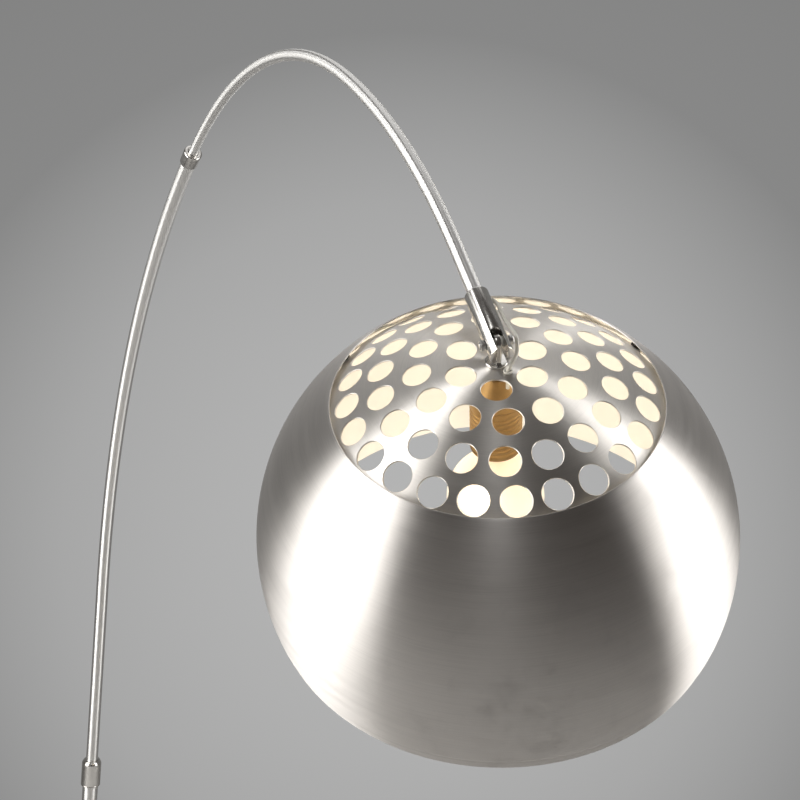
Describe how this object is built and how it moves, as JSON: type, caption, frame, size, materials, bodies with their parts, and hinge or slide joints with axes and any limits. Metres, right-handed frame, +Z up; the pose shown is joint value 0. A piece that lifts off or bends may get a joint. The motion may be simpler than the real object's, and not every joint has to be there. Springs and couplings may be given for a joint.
{
  "type": "arc floor lamp",
  "caption": "Round stone foot with telescoping curved steel tubes in a tall arc, holding a tilting ball shade with a perforated domed top over an opal globe bulb.",
  "frame": {"origin": "on the floor, at the centre of the foot, under the axis of the lower tube", "axes": "+Z up; +X from the lower tube towards the shade, in the plane of the arc; +Y completes the right-handed set, away from the viewer's side of the lamp"},
  "size_m": [1.7007, 0.4676, 2.086],
  "materials": {
    "stone": "honed black stone",
    "felt": "pressed felt",
    "tube_steel": "satin polished steel tube",
    "collar_steel": "turned and polished steel",
    "screw_steel": "zinc plated steel",
    "bush_plastic": "natural nylon",
    "shade_metal": "spun, brushed round the axis outside, white enamel inside",
    "dome_metal": "spun and perforated, brushed round the axis",
    "pad_rubber": "black rubber",
    "holder_brass": "brown gold lacquered brass",
    "bulb_cap_metal": "rolled thread",
    "opal_glass": "opal glass",
    "lead_plastic": "clear ivory PVC sheath",
    "gland_plastic": "moulded black plastic"
  },
  "bodies": {
    "base": {"base_slab": "stone", "base_felt": "felt", "base_flange": "tube_steel", "base_bolt": "screw_steel", "base_washer": "screw_steel", "lead_gland": "gland_plastic"},
    "post": {"lower_tube": "tube_steel", "foot_plug": "screw_steel", "lower_collar": "collar_steel", "lower_lock_screw": "screw_steel"},
    "guide": {"lower_guide_bush": "bush_plastic"},
    "middle": {"middle_tube": "tube_steel", "upper_collar": "collar_steel", "upper_lock_screw": "screw_steel", "upper_guide_bush": "bush_plastic"},
    "top": {"top_tube": "tube_steel"},
    "sleeve": {"head_sleeve": "collar_steel", "sleeve_lock_screw": "screw_steel", "tilt_screw": "screw_steel", "tilt_nut": "screw_steel", "tilt_spacer_left": "bush_plastic", "tilt_spacer_right": "bush_plastic", "head_lead": "lead_plastic"},
    "head": {"shade_hanger": "collar_steel", "dome_washer": "screw_steel", "dome_lock_nut": "screw_steel", "perforated_dome": "dome_metal", "rim_pad_front": "pad_rubber", "rim_pad_right": "pad_rubber", "rim_pad_left": "pad_rubber", "lampholder_cap": "holder_brass", "lampholder_body": "holder_brass", "holder_contact": "holder_brass", "lead_grommet": "lead_plastic"},
    "shell": {"ball_shell": "shade_metal"},
    "bulb": {"bulb_globe": "opal_glass", "bulb_cap": "bulb_cap_metal"}
  },
  "joints": [
    {"name": "post_swivel", "type": "hinge", "parent": "base", "child": "post", "pos_m": [0, 0, 0.0856], "axis": [0, 0, 1], "continuous": true},
    {"name": "middle_twist", "type": "hinge", "parent": "post", "child": "guide", "pos_m": [0.10143, 0, 1.10025], "axis": [0.225, 0, 0.9744], "range_deg": [-170, 170]},
    {"name": "middle_slide", "type": "slide", "parent": "guide", "child": "middle", "axis": [0.225, 0, 0.9744], "range_m": [-0.15, 0.07]},
    {"name": "top_slide", "type": "hinge", "parent": "middle", "child": "top", "pos_m": [1.0526, 0, 1.21934], "axis": [0, 1, 0], "range_deg": [0, 5]},
    {"name": "head_swivel", "type": "hinge", "parent": "top", "child": "sleeve", "pos_m": [1.41591, 0, 1.75497], "axis": [-0.6364, 0, 0.7713], "range_deg": [-160, 160]},
    {"name": "head_tilt", "type": "hinge", "parent": "sleeve", "child": "head", "pos_m": [1.41591, 0, 1.75497], "axis": [0.2613, 0.9409, 0.2156], "range_deg": [-97, 4], "deforming": ["head_lead"]},
    {"name": "shell_turn", "type": "hinge", "parent": "head", "child": "shell", "pos_m": [1.29777, 0.06818, 1.6006], "axis": [0.5735, -0.331, 0.7494], "continuous": true},
    {"name": "bulb_turn", "type": "hinge", "parent": "head", "child": "bulb", "pos_m": [1.29777, 0.06818, 1.6006], "axis": [-0.5735, 0.331, -0.7494], "range_deg": [0, 720]}
  ]
}
